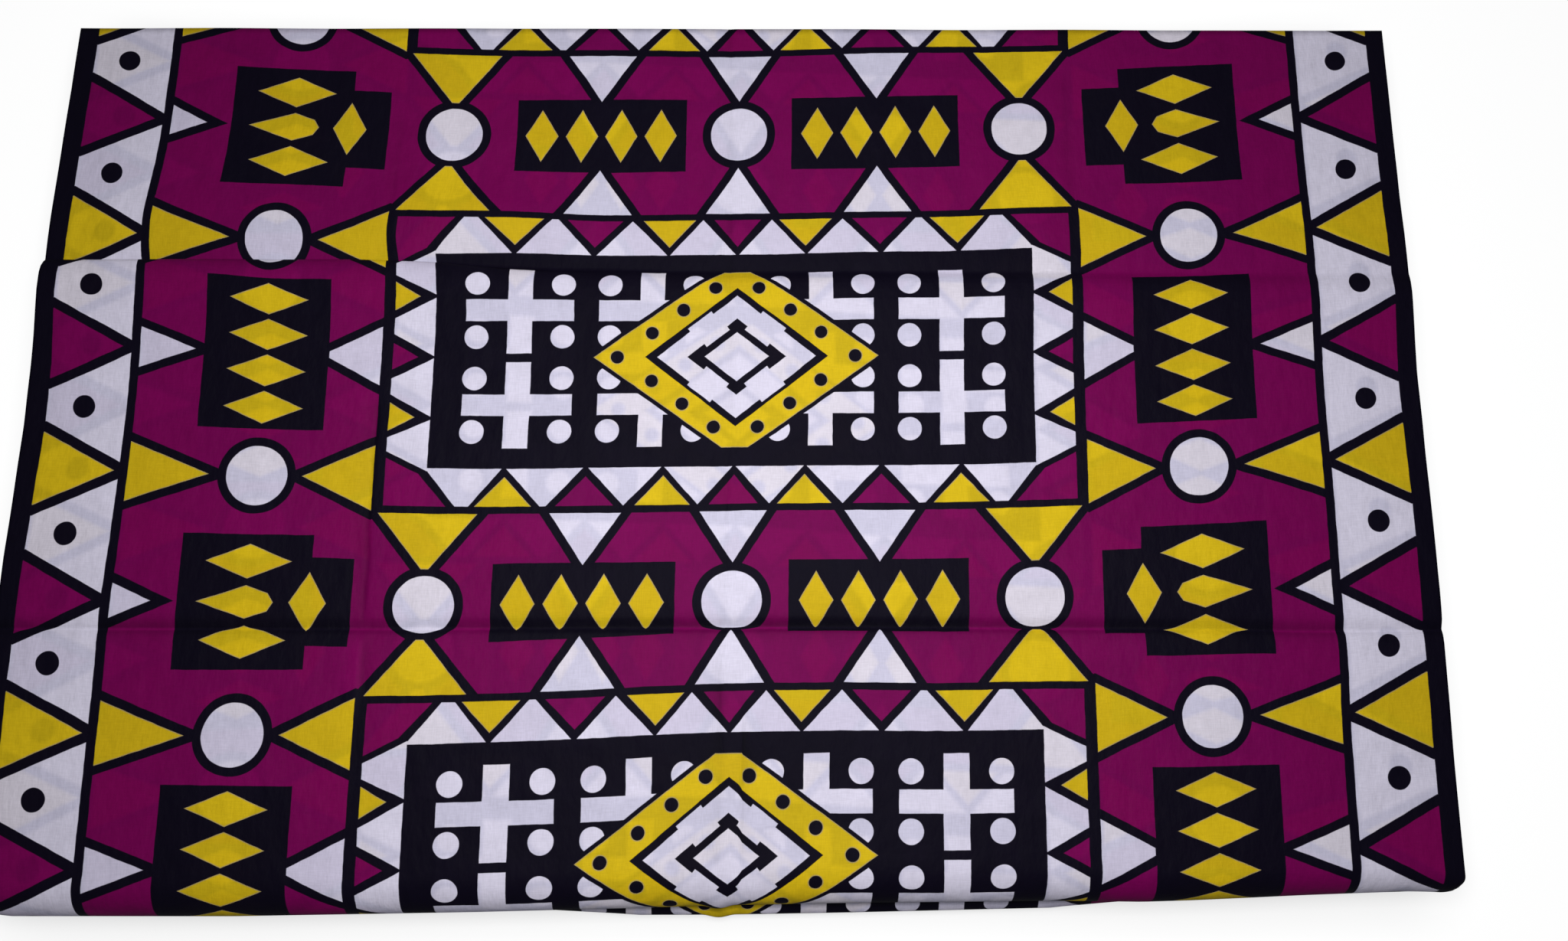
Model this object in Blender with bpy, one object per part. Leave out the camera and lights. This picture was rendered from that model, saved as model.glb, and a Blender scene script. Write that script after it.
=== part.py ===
"""Ankara fabric: a length of wax print cotton, folded in layers and lying flat.

Two nodes: cloth_outer is the layer that shows, with its near fold and the run it lies on, and
cloth_inner is the folded layers inside it. Metres, +Z up, +Y away from the viewer, with the
underside on Z = 0.
"""
import math

import bmesh
import bpy
import numpy as np

# Driving sizes
CLOTH_WIDTH = 1.162        # selvedge to selvedge
FAR_Y = 0.380              # the straight far edge
NEAR_Y = -0.380            # the foremost point of the near fold
WALL = 0.0016              # the outer layer's thickness
LAYER_GAP = 0.0003         # clear space between the outer layer and those inside it
GROOVE_DEPTH = 0.004       # how far the hollow between two inner layers goes in
CENTRE_SHIFT_FAR = 0.00775  # the cloth lies a little askew: its middle at the far edge
CENTRE_SHIFT_NEAR = -0.0082  # and at the near fold
EDGE_SHARE = 0.955         # the inner layers' edges differ from here out, as a share of half width
NOSE_STEPS = 9             # straight steps round the near fold
NOSE_LOW_DEPTH = 0.020     # how far back the fold's lower half curls under
PINCH_HEIGHT = 0.0025      # the small pinch where the middle crease meets the near fold
PINCH_X = -0.006
PINCH_HALF_WIDTH = 0.014
MIDDLE_CREASE_DEPTH = 0.0012
MIDDLE_CREASE_X = 0.0
MIDDLE_CREASE_HALF_WIDTH = 0.012
RIDGE_SLANT = -0.018       # the cross ridge's right end lies this much nearer than its left end
SIDE_POWER = 1.5           # how the heights go over from the middle to each edge
LAYER_ROUNDING = 0.22      # share of an inner layer's height that rounds off, above and below
SHARP_ANGLE = 50           # degrees, past which an edge is shaded sharp

# Columns of the cloth's grid, as a share of its half width from the middle
COLUMNS = (-1.0, -0.985, -0.955, -0.83, -0.66, -0.5, -0.34, -0.18, -0.06, -0.033, -0.010, 0.0,
           0.012, 0.045, 0.17, 0.3, 0.46, 0.62, 0.8, 0.955, 0.985, 1.0)

# Heights of the top along the cloth, from the far edge to the start of the near fold
SECTIONS = (
    # y, height at the left edge, in the middle, at the right edge, share of the ridge's slant
    (0.380, 0.0400, 0.0415, 0.0420, 0.0),
    (0.330, 0.0420, 0.0430, 0.0435, 0.0),
    (0.280, 0.0435, 0.0445, 0.0450, 0.2),
    (0.230, 0.0450, 0.0460, 0.0470, 0.5),
    (0.200, 0.0450, 0.0465, 0.0480, 0.8),
    (0.180, 0.0435, 0.0462, 0.0485, 1.0),
    (0.167, 0.0420, 0.0458, 0.0487, 1.0),
    (0.162, 0.0425, 0.0465, 0.0492, 1.0),
    (0.158, 0.0465, 0.0490, 0.0504, 1.0),
    (0.153, 0.0505, 0.0515, 0.0515, 1.0),
    (0.146, 0.0530, 0.0530, 0.0523, 1.0),
    (0.135, 0.0542, 0.0537, 0.0527, 1.0),
    (0.115, 0.0540, 0.0535, 0.0527, 0.8),
    (0.080, 0.0530, 0.0528, 0.0525, 0.5),
    (0.020, 0.0522, 0.0522, 0.0522, 0.2),
    (-0.050, 0.0520, 0.0520, 0.0520, 0.2),
    (-0.120, 0.0522, 0.0522, 0.0522, 0.5),
    (-0.146, 0.0532, 0.0532, 0.0532, 0.7),
    (-0.154, 0.0540, 0.0538, 0.0538, 0.7),
    (-0.162, 0.0530, 0.0530, 0.0530, 0.7),
    (-0.190, 0.0522, 0.0522, 0.0522, 0.5),
    (-0.250, 0.0520, 0.0520, 0.0520, 0.0),
    (-0.300, 0.0520, 0.0520, 0.0520, 0.0),
)

# The near fold across the cloth
NEAR_FOLD = (
    # share of the half width, foremost y less NEAR_Y, depth of the fold's upper half
    (-1.0, 0.021, 0.022),
    (-0.985, 0.013, 0.024),
    (-0.955, 0.010, 0.026),
    (-0.66, 0.006, 0.029),
    (-0.34, 0.005, 0.034),
    (-0.12, 0.004, 0.038),
    (0.0, 0.002, 0.040),
    (0.17, 0.004, 0.036),
    (0.3, 0.005, 0.030),
    (0.46, 0.009, 0.027),
    (0.8, 0.013, 0.026),
    (0.955, 0.015, 0.025),
    (0.985, 0.018, 0.024),
    (1.0, 0.026, 0.022),
)

# The layers inside, from the top one down
INNER_LAYERS = (
    # how far each stops short of the outer layer at the left, at the right, at the far end
    (0.004, 0.006, 0.003),
    (0.007, 0.003, 0.008),
    (0.003, 0.008, 0.004),
    (0.008, 0.004, 0.007),
    (0.005, 0.006, 0.003),
)


def clear_scene():
    """Takes away whatever the new file holds."""
    for item in list(bpy.data.objects):
        bpy.data.objects.remove(item, do_unlink=True)


def dip(x, middle, half_width):
    """1 at the middle of a crease, falling smoothly to 0 at its half width."""
    away = abs(x - middle) / half_width
    return 0.5 + 0.5 * math.cos(math.pi * min(away, 1.0))


def near_fold(share):
    """Foremost y of the near fold and the depth of its upper half, at a column."""
    shares = [row[0] for row in NEAR_FOLD]
    foremost = NEAR_Y + float(np.interp(share, shares, [row[1] for row in NEAR_FOLD]))
    depth = float(np.interp(share, shares, [row[2] for row in NEAR_FOLD]))
    return foremost, depth


def centre_x(y):
    """The cloth's middle line, which lies a little askew."""
    along = (y - NEAR_Y) / (FAR_Y - NEAR_Y)
    return CENTRE_SHIFT_NEAR + (CENTRE_SHIFT_FAR - CENTRE_SHIFT_NEAR) * along


def height_at(share, left, middle, right):
    """Height of a section at a column, through its left, middle and right values."""
    side = left if share < 0 else right
    return middle + (side - middle) * abs(share) ** SIDE_POWER


def column_profile(share):
    """The outer face at a column as (y, z) points: along the top, round the fold and back."""
    x = share * CLOTH_WIDTH / 2
    crease = MIDDLE_CREASE_DEPTH * dip(x, MIDDLE_CREASE_X, MIDDLE_CREASE_HALF_WIDTH)
    pinch = PINCH_HEIGHT * dip(x, PINCH_X, PINCH_HALF_WIDTH)
    points = []
    for y, left, middle, right, slant in SECTIONS:
        slanted_y = y + RIDGE_SLANT * slant * (share + 1) / 2
        points.append((slanted_y, height_at(share, left, middle, right) - crease))
    foremost, depth = near_fold(share)
    half = points[-1][1] / 2
    for step in range(NOSE_STEPS + 1):
        turn = math.pi * step / NOSE_STEPS
        reach = depth if turn < math.pi / 2 else NOSE_LOW_DEPTH
        out = math.sin(turn)
        y = foremost + reach * (1 - out) - pinch * out
        points.append((y, half + half * math.cos(turn)))
    points.append(((foremost + FAR_Y) / 2, 0.0))
    points.append((FAR_Y, 0.0))
    return points


def moved_in(points, distance):
    """The same profile moved towards the inside of the fold by a distance."""
    line = np.array(points)
    along = np.gradient(line, axis=0)
    along /= np.linalg.norm(along, axis=1)[:, None]
    inward = np.column_stack([-along[:, 1], along[:, 0]])
    inward[0] = (0.0, -1.0)
    inward[-2:] = (0.0, 1.0)
    return line + inward * distance


def outer_grid(distance):
    """Points of the outer layer, a row for each column, at a depth below its outer face."""
    rows = []
    for share in COLUMNS:
        profile = moved_in(column_profile(share), distance)
        rows.append([(centre_x(y) + share * CLOTH_WIDTH / 2, y, z) for y, z in profile])
    return rows


def add_grid(mesh, rows):
    """Adds a sheet of points and returns its vertices, row by row."""
    return [[mesh.verts.new(point) for point in row] for row in rows]


def skin(mesh, verts, flip):
    """Fills a sheet of vertices with triangles, split the same way on every sheet."""
    for row, after in zip(verts, verts[1:]):
        for a, b, c, d in zip(row, row[1:], after[1:], after):
            for corners in ((a, b, c), (a, c, d)):
                mesh.faces.new(corners[::-1] if flip else corners)


def rim(verts):
    """The vertices round the edge of a sheet, in order."""
    first = verts[0]
    last = verts[-1]
    ends = [row[-1] for row in verts[1:-1]]
    starts = [row[0] for row in verts[1:-1]]
    return first + ends + last[::-1] + starts[::-1]


def join_rims(mesh, one, other):
    """Closes the space between two edges with the same number of vertices."""
    count = len(one)
    for i in range(count):
        j = (i + 1) % count
        mesh.faces.new((one[i], one[j], other[j], other[i]))


def finish_object(name, mesh, colour, roughness):
    """Turns the mesh into a named object with a fabric material of its own."""
    bmesh.ops.recalc_face_normals(mesh, faces=mesh.faces)
    if mesh.calc_volume(signed=True) < 0:
        bmesh.ops.reverse_faces(mesh, faces=mesh.faces)
    data = bpy.data.meshes.new(name)
    mesh.to_mesh(data)
    mesh.free()
    data.shade_smooth()
    data.set_sharp_from_angle(angle=math.radians(SHARP_ANGLE))
    cloth = bpy.data.materials.new(name + "_cotton")
    cloth.use_nodes = True
    shader = cloth.node_tree.nodes["Principled BSDF"]
    shader.inputs["Base Color"].default_value = (*colour, 1.0)
    shader.inputs["Roughness"].default_value = roughness
    shader.inputs["Metallic"].default_value = 0.0
    data.materials.append(cloth)
    part = bpy.data.objects.new(name, data)
    bpy.context.scene.collection.objects.link(part)
    return part


def build_outer():
    """The layer that shows: one wall along the top, round the near fold and back beneath."""
    mesh = bmesh.new()
    outside = add_grid(mesh, outer_grid(0.0))
    inside = add_grid(mesh, outer_grid(WALL))
    skin(mesh, outside, flip=False)
    skin(mesh, inside, flip=True)
    join_rims(mesh, rim(outside), rim(inside))
    return finish_object("cloth_outer", mesh, colour=(0.16, 0.015, 0.09), roughness=0.85)


def layer_rings():
    """Heights of the rings down the inner layers' edge, with the distances they stop short."""
    count = len(INNER_LAYERS)
    rings = []
    for k, layer in enumerate(INNER_LAYERS):
        top = 1 - k / count
        if k > 0:
            above = INNER_LAYERS[k - 1]
            hollow = tuple(max(a, b) + GROOVE_DEPTH for a, b in zip(layer, above))
            rings.append((top, hollow))
        rings.append((top - LAYER_ROUNDING / count, layer))
        rings.append((top - (1 - LAYER_ROUNDING) / count, layer))
    last = tuple(short + GROOVE_DEPTH for short in INNER_LAYERS[-1])
    rings.append((0.0, last))
    return rings


def shortened(share, left, right):
    """A column's share once the cloth's edges stop short of the outer layer's by two distances."""
    short = left if share < 0 else right
    over = abs(share) - EDGE_SHARE
    if over <= 0:
        return share
    room = 1 - EDGE_SHARE
    kept = room - short / (CLOTH_WIDTH / 2)
    return math.copysign(EDGE_SHARE + over * kept / room, share)


def ring_point(share, i, height, short, depth_in):
    """A point of a ring: column share, section i, height share and the layer's distances."""
    left, right, far = short
    share = shortened(share, left, right)
    profile = moved_in(column_profile(share), depth_in)
    y, top = profile[i]
    z = depth_in + (top - depth_in) * height
    if i == len(SECTIONS):
        fold = profile[len(SECTIONS):-1][::-1]
        y = np.interp(z, fold[:, 1], fold[:, 0])
    if i == 0:
        y -= far
    return centre_x(y) + share * CLOTH_WIDTH / 2, y, z


def build_inner():
    """The layers inside the fold, as one rounded solid whose edge shows each layer."""
    depth_in = WALL + LAYER_GAP
    sections = range(len(SECTIONS) + 1)
    mesh = bmesh.new()
    first = tuple(short + GROOVE_DEPTH for short in INNER_LAYERS[0])
    verts = add_grid(mesh, [[ring_point(share, i, 1.0, first, depth_in) for i in sections]
                            for share in COLUMNS])
    skin(mesh, verts, flip=False)
    places = rim([[(share, i) for i in sections] for share in COLUMNS])
    above = rim(verts)
    for height, short in layer_rings():
        ring = [mesh.verts.new(ring_point(share, i, height, short, depth_in))
                for share, i in places]
        join_rims(mesh, above, ring)
        above = ring
    mesh.faces.new(above)
    return finish_object("cloth_inner", mesh, colour=(0.10, 0.01, 0.06), roughness=0.9)


def main():
    """Builds the folded cloth."""
    clear_scene()
    build_outer()
    build_inner()


main()
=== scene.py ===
"""Looks of the folded ankara fabric: the printed cotton that shows, and the layers inside it.

Metres in the CAD's frame: +Z up, +Y away from the viewer. The print is charted in millimetres
of cloth, u across it from the middle line and v along it from the middle of a panel.
"""
import math

import bmesh
import bpy
import numpy as np
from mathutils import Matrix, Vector


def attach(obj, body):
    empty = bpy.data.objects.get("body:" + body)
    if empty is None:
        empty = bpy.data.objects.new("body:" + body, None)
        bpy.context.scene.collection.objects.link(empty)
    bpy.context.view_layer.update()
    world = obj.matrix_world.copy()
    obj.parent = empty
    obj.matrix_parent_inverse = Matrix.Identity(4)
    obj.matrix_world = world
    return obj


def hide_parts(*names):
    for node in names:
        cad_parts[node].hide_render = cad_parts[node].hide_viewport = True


# The cloth's form, with the CAD's own sizes
CLOTH_WIDTH = 1.162
FAR_Y = 0.380
NEAR_Y = -0.380
CENTRE_SHIFT_FAR = 0.00775
CENTRE_SHIFT_NEAR = -0.0082
NOSE_LOW_DEPTH = 0.020
PINCH_HEIGHT = 0.0025
PINCH_X = -0.006
PINCH_HALF_WIDTH = 0.014
SHELL = 0.0009  # thickness of the cloth that shows
INNER_DEPTH = 0.0022  # how far the layers inside lie below the outer face
SIDE_POWER = 1.5  # how the heights go over from the middle to each edge

SECTIONS = (
    # y, height at the left edge, in the middle, at the right edge
    (0.38, 0.04, 0.0415, 0.042),
    (0.33, 0.042, 0.043, 0.0435),
    (0.28, 0.0435, 0.0445, 0.045),
    (0.23, 0.045, 0.046, 0.047),
    (0.2, 0.045, 0.0468, 0.0484),
    (0.18, 0.0442, 0.0466, 0.049),
    (0.17, 0.0434, 0.046, 0.0492),
    (0.163, 0.0428, 0.0454, 0.0494),
    (0.161, 0.0445, 0.046, 0.0497),
    (0.158, 0.051, 0.0482, 0.0506),
    (0.155, 0.0529, 0.0503, 0.0513),
    (0.151, 0.0537, 0.052, 0.0519),
    (0.145, 0.0541, 0.0531, 0.0523),
    (0.135, 0.0542, 0.0537, 0.0527),
    (0.115, 0.054, 0.0535, 0.0527),
    (0.08, 0.053, 0.0528, 0.0525),
    (0.02, 0.0522, 0.0522, 0.0522),
    (-0.06, 0.0521, 0.0521, 0.0521),
    (-0.1, 0.0522, 0.0524, 0.0523),
    (-0.12, 0.0523, 0.053, 0.0526),
    (-0.134, 0.0522, 0.0526, 0.0524),
    (-0.141, 0.0521, 0.0518, 0.0519),
    (-0.1465, 0.0518, 0.0494, 0.0504),
    (-0.1492, 0.0511, 0.0486, 0.0498),
    (-0.1508, 0.0512, 0.0498, 0.0507),
    (-0.1535, 0.0519, 0.0514, 0.0516),
    (-0.16, 0.0524, 0.0525, 0.0524),
    (-0.19, 0.0522, 0.0522, 0.0522),
    (-0.25, 0.052, 0.052, 0.052),
    (-0.3, 0.052, 0.052, 0.052),
)
SECTION_ROUNDING = 0.0006
ROUNDING_WEIGHTS = ((-2, 1), (-1, 2), (0, 3), (1, 2), (2, 1))  # steps along, weight

# The two creases across the cloth: how far each lies from its row in SECTIONS
FAR_CREASE = (
    # share of the half width, y less the row's
    (-1, 0.0047), (-0.56, 0.0045), (-0.44, 0.002), (-0.36, -0.003), (-0.27, -0.007),
    (-0.21, -0.0085), (-0.09, -0.0108), (0.42, -0.0123), (0.78, -0.0143), (1, -0.0153),
)
NEAR_CREASE_ROW = -0.150
NEAR_CREASE = (
    # share of the half width, y less the row's
    (-1, 0.0045), (-0.5, 0.0012), (-0.2, -0.0004), (0.1, -0.0014), (0.3, -0.003),
    (0.6, -0.0058), (0.8, -0.0088), (1, -0.0094),
)
CREASE_SWAY = (
    # place in SECTIONS, share of FAR_CREASE that a row takes on, share of NEAR_CREASE
    (0.34, 0, 0), (0.2, 1, 0), (0.13, 1, 0), (0.01, 0, 0), (-0.05, 0, 0), (-0.13, 0, 1),
    (-0.17, 0, 1), (-0.26, 0, 0),
)
EDGE_SWAY = (
    # place in SECTIONS, millimetres that the left edge is drawn in, and the right edge
    (0.32, 0.5, 0.5), (0.23, -0.8, 0.5), (0.2, -1.6, 0), (0.1625, -3, 0), (0.1605, -1.5, 0),
    (0.1585, 3.8, 0), (0.155, 2, 0), (0.151, 0.7, 0), (0.145, 0, 0), (0.13, 0, 0.6),
    (0.095, 1.8, 1.8), (0.065, 2.8, 2.4), (0.02, 2.8, 1.5), (-0.01, 1.8, 1.2),
    (-0.04, 1.2, 0.5), (-0.09, 0, 0),
)
EDGE_SWAY_SHARE = 0.84  # the sway dies away inwards, down to this share of the half width
RIDGE_TUCK = (
    # share of the half width, how far the far crease's foot is drawn in under its shoulder
    (-1, 0.004), (-0.45, 0.004), (-0.3, 0.0015), (-0.2, 0),
)
RIDGE_TUCK_ROWS = (
    # place in SECTIONS, share of the tuck
    (0.157, 0), (0.161, 1), (0.164, 1), (0.185, 0),
)

NEAR_FOLD = (
    # share of the half width, foremost y less NEAR_Y, depth of the fold's upper half, lower bulge
    (-1, 0.024, 0.022, 0),
    (-0.985, 0.017, 0.024, 0),
    (-0.955, 0.014, 0.027, 0),
    (-0.66, 0.011, 0.03, 0),
    (-0.34, 0.011, 0.032, 0),
    (-0.12, 0.012, 0.034, 0.012),
    (0, 0.013, 0.035, 0.014),
    (0.17, 0.013, 0.033, 0.014),
    (0.45, 0.012, 0.03, 0.012),
    (0.57, 0.01, 0.028, 0.004),
    (0.64, 0.0105, 0.027, 0),
    (0.8, 0.013, 0.026, 0),
    (0.94, 0.0145, 0.025, 0),
    (0.97, 0.014, 0.02, 0),
    (0.985, 0.0135, 0.016, 0),
    (0.994, 0.0145, 0.014, 0),
    (1, 0.018, 0.012, 0),
)
LOWER_BULGE_HEIGHT = 0.020

# Rows of the cloth's grid
TOP_ROWS = (
    # from y, to y, spacing
    (0.38, 0.188, 0.006), (0.188, 0.166, 0.0022), (0.166, 0.15, 0.0007), (0.15, 0.13, 0.002),
    (0.13, -0.136, 0.0062), (-0.136, -0.1465, 0.0015), (-0.1465, -0.1535, 0.0005),
    (-0.1535, -0.16, 0.0013), (-0.16, -0.3, 0.006),
)
APPROACH_ROWS = 7  # from the last section to the start of the near fold
NOSE_ROWS = 26
UNDER_ROWS = 14

# Columns of the grid, in millimetres from the middle line
COLUMN_STRETCHES = (
    # from u, to u, spacing
    (0, 24, 1.7), (24, 283, 7.4), (283, 299, 1.6), (299, 495, 7.3), (495, 565, 7),
    (565, 579.5, 2.4),
)

# How the print lies on the folded cloth
CLOTH_STRETCH = 1.0068  # millimetres of chart to one of cloth, lengthways
PANEL_Y = 0.075  # where the upper panel's middle lies
BOW = 12.4  # how much further away the print lies at the dots than in the middle
BOW_GAIN = 10.0  # and how much that grows over BOW_LENGTH
BOW_LENGTH = 400.0
BOW_RUN = (-460.0, 320.0)  # the stretch in which it grows
BOW_AT = 535.0  # the dots' distance from the middle line
RIDGE_ROWS = (0.185, 0.145)
RIDGE_STEEP = 0.6  # slope from which the ridge's face counts as steep
RIDGE_SCALES = (0.1, 2.0)  # least and most that its length counts for in the print
LEAST_FACE = 1e-6  # so that nothing is divided by nought
RIDGE_TAKES = (
    # share of the half width, millimetres of cloth that the far crease takes up
    (-1, 3.4), (0, 1.5), (1, 0.4),
)
HIDING_FADE = 0.0012  # how softly the near crease hides the print, in metres
PLEAT_HIDES = (
    # share of the half width, millimetres of print that the near crease hides
    (-1, 3), (-0.4, 2.3), (-0.3, 2.6), (-0.2, 4.1), (-0.1, 6.5), (0, 7.8), (0.15, 8),
    (0.3, 5.8), (0.42, 5.8), (0.52, 4.6), (0.62, 3), (1, 3.8),
)

# Soft creases lengthways, in millimetres but for y
CREASES = (
    # u at the far end, u at the near end, far y, near y, height, reach to the left, to the right,
    # how much lighter the inks are painted in it: a painted highlight above nought, painted shade
    # below
    (-8, -4, 0.4, 0, -0.6, 9, 1.3, -0.14),
    (-4, -7, 0, -0.2, -0.75, 9, 1.3, -0.14),
    (-7, -8.5, -0.17, -0.4, -0.75, 9, 2.5, -0.35),
    (12.5, 12, -0.215, -0.4, -0.4, 1.3, 4, -0.5),
    (-293, -293, 0.3, 0.16, -0.35, 6, 3, -0.12),
    (-295, -294, 0.045, -0.148, -1.7, 6, 1.6, -0.3),
    (-294, -294, -0.15, -0.23, 1.1, 12, 2, 0.18),
    (-290, -290, -0.15, -0.26, -0.2, 1.2, 5, -0.18),
    (289, 288, 0.34, 0.15, -0.3, 6, 6, -0.14),
    (288, 288, 0.1, -0.3, 0.25, 6, 6, 0),
)
CREASE_FADE = 0.016
CREASE_WAVER = ((0.7, 43), (0.4, 117))  # millimetres, turn for each metre

# Painted shade in the hollows of the two creases across the cloth, and a thin painted highlight on
# the near one's line
NEAR_CREASE_PAINTED_SHADE_AND_HIGHLIGHT = (
    # millimetres beyond the crease's line, share of its painted tone: highlight above nought, shade
    # below
    (-13, 0), (-6, -0.3), (-2.2, -0.75), (-0.9, -0.5), (0, 0.45), (0.9, -0.5), (2.2, -1),
    (5, -0.8), (9, -0.3), (14, 0),
)
NEAR_CREASE_STRENGTH = (
    # share of the half width, how much of that painted shade and highlight shows
    (-1, 0.25), (-0.8, 0.32), (-0.5, 0.24), (-0.2, 0.28), (0.08, 0.42), (0.3, 0.34),
    (0.55, 0.3), (1, 0.24),
)
FAR_CREASE_LINE = 0.158
FAR_CREASE_PAINTED_SHADE = (
    # millimetres beyond the crease's line, share of its painted shade
    (-16, 0), (-5, -0.7), (-2, -1), (0, -0.5), (1.5, 0),
)
FAR_CREASE_STRENGTH = (
    # share of the half width, how much of that painted shade shows
    (-1, 0.24), (-0.6, 0.2), (-0.4, 0.08), (0.3, 0), (0.5, 0.1), (1, 0.12),
)

# Where the cloth is pulled askew in its plane, in millimetres
PULLS = (
    # middle u, middle v, reach, how far the print moves in u, in v
    (-387, 103, 62, 6.8, -0.8),
    (387, 103, 62, -3.7, -0.3),
    (-535, 258, 60, -0.9, -1.6),
    (-535, 51, 55, 1.8, 0.9),
    (-535, -51, 55, -2.3, 0.4),
    (-535, -258, 60, 1, 1.1),
    (535, 51, 55, -1.1, 1.6),
    (535, -51, 55, 1.7, -0.3),
    (-387, -103, 60, -0.6, 1.3),
    (-387, -309, 60, 0, 2.2),
    (0, 0, 110, -1.8, 0.5),
    (-247, 206, 70, -0.7, 3.6),
    (247, 206, 70, 0.7, -0.8),
    (-247, -206, 70, -1.2, 2.4),
    (0, -206, 70, -0.7, -1.1),
    (-480, 118, 45, 5.5, 0),
    (-240, 128, 52, 6, 0),
    (-387, 60, 42, 0, 2.4),
    (-262, 100, 28, 2.6, 0),
    (-290, 110, 18, 2.5, 0),
    (-497, 108, 30, 2, 0),
    (-185, 105, 60, 0, -2.6),
    (120, 95, 60, -0.8, -1.6),
    (400, 122, 65, 0.3, 2.3),
    (250, 100, 75, -3.6, -1.2),
    (450, 95, 40, -3, 0),
    (-120, 178, 85, -0.9, 4),
    (150, 165, 90, 0, 1.4),
    (140, 305, 110, -0.8, -3.5),
    (400, 265, 80, 0, -1.5),
    (-205, 300, 60, 2.2, 0.3),
    (-400, 225, 65, -2.3, 1.4),
    (-230, 15, 105, -1, 2.2),
    (-205, -110, 100, -0.8, 1.9),
    (-355, 0, 75, -0.4, 1.5),
    (-120, -40, 70, -1.6, 0.3),
    (200, -110, 120, -0.7, 1.5),
    (180, 10, 60, -0.5, 1),
    (470, -140, 75, -0.6, -2.5),
    (-60, -170, 70, -0.5, 1.2),
    (-310, -365, 95, 1, 3.3),
    (-110, -410, 90, -2, 2),
    (60, -430, 110, 0.4, 2.2),
    (130, -400, 70, 1.2, 0),
    (480, -262, 40, -2.4, 2.8),
    (-440, -290, 45, -1.5, 1.8),
    (390, -455, 45, 0, -1.7),
    (-480, -330, 50, 0.8, 2),
    (240, -380, 60, 0, 1.3),
    (-240, -430, 90, 0, 1),
    (180, -430, 80, 0, 0.8),
    (-100, 262, 60, 0, -1.8),
    (345, -195, 60, 1.8, -0.4),
    (-520, -215, 45, 2.2, 0),
)

# A narrow tuck lengthways near the middle line, in millimetres but for y
TUCK_U = 10.5
TUCK_HIDES = 2.6
TUCK_WIDTH = 0.5
TUCK_REACH = 70.0  # how far off the print is drawn in
TUCK_STARTS = (-0.205, -0.250)  # y where it starts, and where it hides its full width

# Low relief: soft waves all over, and a few swells, in metres but for a swell's height
WAVES = 14
WAVE_SEED = 7
WAVE_LENGTHS = (0.07, 0.30)
WAVE_HEIGHT = 0.00009
SWELLS = (
    # x, y, reach across, reach along, height in millimetres
    (-0.235, 0.204, 0.085, 0.022, 4.2),
    (-0.06, 0.19, 0.1, 0.022, 1.2),
    (-0.11, -0.112, 0.07, 0.024, 1),
    (0.11, -0.112, 0.085, 0.024, 1.2),
)

# The camera, fitted to the print's evenly spaced dots and discs
CAMERA_PLACE = (0.0147, -0.1968, 1.0077)
CAMERA_TURN = (10.34, -1.48, -0.69)  # degrees about X, Y and Z
LENS = 27.09
SENSOR = 36.0
CAMERA_CLIP = 0.01

# Inks as they show on the cotton, linear
BLACK = (0.0036, 0.0024, 0.0082)
WHITE = (0.665, 0.630, 0.765)
YELLOW = (0.640, 0.447, 0.0090)
PURPLE = (0.162, 0.0008, 0.0725)

# Each ink's share of white, yellow and purple in the charts. The rest of it is black.
INKS = {"black": (0, 0, 0), "white": (1, 0, 0), "yellow": (0, 1, 0), "purple": (0, 0, 1),
        "rim": (0.35, 0.65, 0)}
RIM_WIDTH = 0.7  # the pale line round each yellow shape, in millimetres
MIX_SHARE, MIX_ONE, MIX_OTHER, MIX_RESULT = 0, 6, 7, 2  # a Mix node's sockets for colours

# The print's layout in millimetres, repeated every PITCH lengthways. The pen's diamond, disc and
# box say what the numbers of a shape stand for.
PITCH = 412.0
PANEL_EDGE = 125.5
GAP_EDGE = 131.5
FIELD_EDGE = (284.5, 294)
BORDER_LINE = (491.5, 499)
SELVEDGE = 565.0
ZONE_EDGES = (289, 495.2)

PANEL_TEETH = (
    # ink, middle u, middle v, half along u, half along v
    ("white", 29.5, 94, 28, 31.5),
    ("white", 90, 94, 30, 31.5),
    ("white", 155.6, 94, 31, 34.3),
    ("white", 221.5, 94, 31, 38),
    ("purple", 0, 125.5, 20, 24.5),
    ("yellow", 58.3, 125.5, 22.5, 24.5),
    ("purple", 121.8, 125.5, 23.5, 24.5),
    ("yellow", 188, 125.5, 23, 24.5),
    ("white", 251, 25.8, 46, 24.8),
    ("white", 251, 75, 45.7, 21.5),
    ("purple", 284.5, 0, 20.5, 11.3),
    ("yellow", 284.5, 51.5, 20.5, 12),
)
PANEL_CORNER = ((234, 125.5), (258, 99), (283, 87))
PANEL_BLOCK = (-251, 251, 94)
CROSS_FOLD_U = (126.15, 55.15)
CROSS_FOLD_V = 40.3
CROSS_BARS = ((-10.2, 10.2, 36.6), (-44.7, 44.7, 9.1))
CROSS_DISC = (35.5, 22.7, 9.9)
DIAMOND = (0, 0, 119.7, 85.9)
DIAMOND_CUT = 78.0
DIAMOND_MARGIN = 3.5
DIAMOND_DOTS = ((100, 0, 5.5), (71, 20.7, 5.5), (45, 40.5, 5.5), (18.3, 60.5, 5.5))
DOT_HALO = 0.8
EYE_BLACK = (0, 0, 77, 60)
EYE_WHITE = (0, 0, 66.5, 53)
EYE_SWELL = (2.9, -7.1, 17.6)
EYE_RING = (0, 0, 36, 28.3)
EYE_RING_ENDS = (0, 0, 41.5, 33)
EYE_RING_STEPS = (14.8, -9.3)
EYE_CORE = (0, 0, 27, 21.2)

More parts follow.
